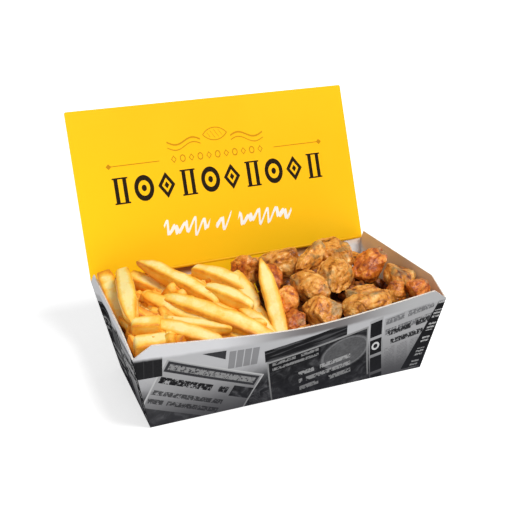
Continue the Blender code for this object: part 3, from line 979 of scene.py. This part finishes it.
def make_core(node, name, finish, drop, slot, *replaced):
    """A lower, rougher copy of a heap's solid, which fills the gaps between the pieces, marked dark
    as painted shade.
    """
    core = merged_copy(node, name)
    low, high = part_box(node)
    floor, middle = low.z, (low + high) / 2
    lower = 1 - drop / (high.z - floor)
    for vertex in core.data.vertices:
        point = vertex.co
        point.x = middle.x + (point.x - middle.x) * 0.93
        point.y = middle.y + (point.y - middle.y) * 0.90
        point.z = floor + (point.z - floor) * lower
    apply_modifier(core, "SUBSURF", levels=1, render_levels=1)
    drift = Vector((4.1, 2.2, 0))
    for vertex in core.data.vertices:
        point = vertex.co
        lump = noise.noise(point / (9 * MM) + drift) + 0.5 * noise.noise(point / (4 * MM) + drift)
        if point.z > floor + 25 * MM:
            point.z += lump * 1.5 * MM
    # Dark marks all over: painted shade in the gaps between the pieces.
    marks = {"browned": 0.9, "tone": 0.5, "crease": 0.7, "skin": 0.0, "red": 0.6}
    for key, value in marks.items():
        write_attribute(core.data, key, [value] * len(core.data.vertices))
    core.data.materials.append(finish)
    smooth(core)
    set_out(core, "box", slot, *replaced)


# ---------------------------------------------------------------- the fish


def cut_flats(mesh, middle, seed, count=9):
    """Presses broad flats into a rounded piece, as on broken fish."""
    dice = random.Random(seed)
    for _ in range(count):
        outward = Vector([dice.gauss(0, 1) for _ in range(3)]).normalized()
        reach = max((vertex.co - middle).dot(outward) for vertex in mesh.vertices)
        level = reach * dice.uniform(0.62, 0.88)
        for vertex in mesh.vertices:
            over = (vertex.co - middle).dot(outward) - level
            if over > 0:
                vertex.co -= outward * over * 0.85


def skin_at(away, patches, broad, small):
    """How much skin shows in a direction from a piece's middle, with two kinds of unevenness."""
    skin = 0.0
    for direction, width in patches:
        reach = away.dot(Vector(direction).normalized()) - (1 - width * 0.36)
        edge = reach + 0.26 * broad + 0.2 * small
        skin = max(skin, min(0.85, max(0, edge * 4)))
    return skin


def crust(obj, seed, lobes, looks):
    """Breaks a smooth piece up into lobes, folds and crumbs, marks painted shade in its hollows and
    marks where its skin shows.
    """
    mesh = obj.data
    drift = Vector((seed * 7.7, seed * 3.1, seed * 1.9))
    middle = sum((vertex.co for vertex in mesh.vertices), Vector()) / len(mesh.vertices)
    longest = max((vertex.co - middle for vertex in mesh.vertices), key=lambda reach: reach.length)
    axis, height = longest.normalized(), min(1, longest.length / (16 * MM))
    red, patches = looks[0], looks[1:]
    cut_flats(mesh, middle, seed)
    crease_shades, skins, moved = [], [], []
    for vertex in mesh.vertices:
        point = vertex.co
        warp = noise.noise_vector(point / (8 * MM) + drift) * 0.35
        distances = noise.voronoi(point / lobes + warp + drift)[0]
        gap = min(1, (distances[1] - distances[0]) * 3.0)
        sizes = (11 * MM, 3.2 * MM, 1.3 * MM)
        broad, small, crumb = [noise.noise(point / size + drift) for size in sizes]
        lying = point - axis * (point - middle).dot(axis) * 0.72
        fold = min(1, abs(noise.noise(lying / (6.5 * MM) - drift)) * 2.2)
        torn = noise.noise(point / (5 * MM) + drift)
        skin = skin_at((point - middle).normalized(), patches, torn, small)

        lift = 1.6 * broad + (1 - 0.6 * skin) * (0.5 * small + 0.32 * crumb)
        lift = lift + 1.7 * (fold - 0.5) * fold - 0.3 * (1 - gap) ** 3
        moved.append(point + vertex.normal * (lift - 0.3) * MM * height)
        # Painted shade: the valleys of the folds and the low spots of the lumps are marked darker.
        crease = (1 - fold) ** 4 * 0.4 + max(0, -small) * 0.5 + max(0, -broad) * 0.6
        crease_shades.append(max(0, min(1, crease)))
        skins.append(skin * (0.85 + 0.15 * crumb))
    for vertex, place in zip(mesh.vertices, moved):
        vertex.co = place
    write_attribute(mesh, "crease", crease_shades)
    write_attribute(mesh, "skin", skins)
    write_attribute(mesh, "red", [red] * len(moved))


def make_fish(finish):
    for number, (node, looks) in enumerate(sorted(FISH_LOOKS.items())):
        piece = merged_copy(node, node + "_crust")
        low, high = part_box(node)
        middle, flatter = (low + high) / 2, FISH_PRESSED.get(node, 1)
        for vertex in piece.data.vertices:
            vertex.co = middle + (vertex.co - middle) * FISH_SHRINK
            vertex.co.z = low.z + (vertex.co.z - low.z) * flatter
        apply_modifier(piece, "SUBSURF", levels=3, render_levels=3)
        crust(piece, number + 1, 17 * MM, looks)
        piece.data.materials.append(finish)
        smooth(piece)
        set_out(piece, "box", "fish_crust", node)


def make_fish_under(finish):
    """Smaller broken pieces in the gaps between the large ones."""
    heap = tree_of("fish_heap")
    dice = random.Random(3)
    laid = []
    for number in range(FISH_UNDER):
        x, y = dice.uniform(-6, 102) * MM, dice.uniform(-62, 55) * MM
        size = [dice.uniform(7, 12) * MM, dice.uniform(6, 9) * MM, dice.uniform(5, 8) * MM]
        turn = (dice.uniform(0, 6.28), dice.uniform(-0.5, 0.5), dice.uniform(0, 6.28))
        sink, red = dice.uniform(0, 4) * MM, dice.uniform(0.2, 0.9)
        level = top_of(heap, x, y)
        if level is None or level < FISH_LEAST_LEVEL:
            continue
        bit = begin(
            bpy.ops.mesh.primitive_ico_sphere_add,
            subdivisions=4,
            radius=1,
            location=inside_tray(Vector((x, y, level - sink)), size[0] + 2 * MM),
            rotation=turn,
            scale=size,
        )
        end_editing(bit, "bit")
        crust(bit, 60 + number, 8 * MM, (red,))
        laid.append(bit)
    under = join_all(laid, "fish_under")
    under.data.materials.append(finish)
    smooth(under)
    set_out(under, "box", "fish_crust")


# ---------------------------------------------------------------- floor, light and camera


def make_floor():
    floor = begin(bpy.ops.mesh.primitive_plane_add, size=40, location=(0, 0, -0.4 * MM))
    bpy.ops.mesh.subdivide(number_cuts=6)
    # The floor glows as painted light, dimmer near the tray and brighter far off, lightening the
    # shadow round it.
    finish = Finish("floor_glowing", Roughness=0.9, Emission_Strength=1.0)
    place = finish.place()
    x, y, _ = finish.xyz(place)
    far = finish.step((x * x + y * y).root(), 0.3, 1.5)
    finish.give({"Emission Color": finish.mix(far, (0.62, 0.62, 0.62), (0.9, 0.9, 0.9))})
    cloud = finish.noise(place, 1.5, 2.0)
    finish.give({"Base Color": finish.mix(cloud, (0.80, 0.80, 0.80), (0.83, 0.83, 0.83))})
    end_editing(floor, "floor", finish.material)
    smooth(floor)


def add_light(name, place, target, size, power, colour=(1, 1, 1)):
    data = bpy.data.lights.new(name, "AREA")
    data.shape, data.size, data.energy, data.color = "DISK", size, power, colour
    light = bpy.data.objects.new(name, data)
    light.location = place
    aim = Vector(target) - Vector(place)
    light.rotation_euler = aim.to_track_quat("-Z", "Y").to_euler()
    bpy.context.scene.collection.objects.link(light)


def light_studio():
    world = bpy.data.worlds.new("studio")
    bpy.context.scene.world = world
    world.use_nodes = True
    backdrop = world.node_tree.nodes["Background"]
    backdrop.inputs["Color"].default_value = (1, 1, 1, 1)
    backdrop.inputs["Strength"].default_value = 0.32
    centre = (0, 0, 0.07)
    add_light("key", (0.9, -1.7, 3.1), centre, 1.3, 94.0)
    add_light("front", (-0.6, -3.0, 0.9), centre, 1.6, 10.0)
    bpy.context.scene.view_settings.view_transform = "Standard"


def place_camera():
    """Looks down over the front left of the tray from arm's length."""
    azimuth, elevation, roll = math.radians(-19.3), math.radians(19.03), math.radians(-2.9)
    distance, aim = 0.60946, Vector((-0.00488, 0, 0.09175))
    back = Vector(
        (
            math.sin(azimuth) * math.cos(elevation),
            -math.cos(azimuth) * math.cos(elevation),
            math.sin(elevation),
        )
    )
    right = Vector((0, 0, 1)).cross(back).normalized()
    turn = Matrix((right, back.cross(right), back)).transposed() @ Matrix.Rotation(roll, 3, "Z")
    data = bpy.data.cameras.new("camera")
    data.sensor_width = 36
    data.lens = 58.27
    camera = bpy.data.objects.new("camera", data)
    camera.matrix_world = Matrix.Translation(aim + back * distance) @ turn.to_4x4()
    bpy.context.scene.collection.objects.link(camera)
    bpy.context.scene.camera = camera


make_tray()
make_lid()
make_tab()
potato = fry_finish()
make_fries(potato)
make_fries_under(potato)
make_core("fries", "fries_core", potato, 16 * MM, "fries")
golden = crust_finish("fish_crust")
make_fish(golden)
# The broken bits and the core get darker copies of the crust: painted shade for pieces lying lower.
make_fish_under(crust_finish("fish_crust_shaded", 0.38))
core_crust = crust_finish("fish_core", 0.75)
make_core("fish_heap", "fish_core", core_crust, 7 * MM, "fish_crust", "fish_heap")
make_floor()
light_studio()
place_camera()
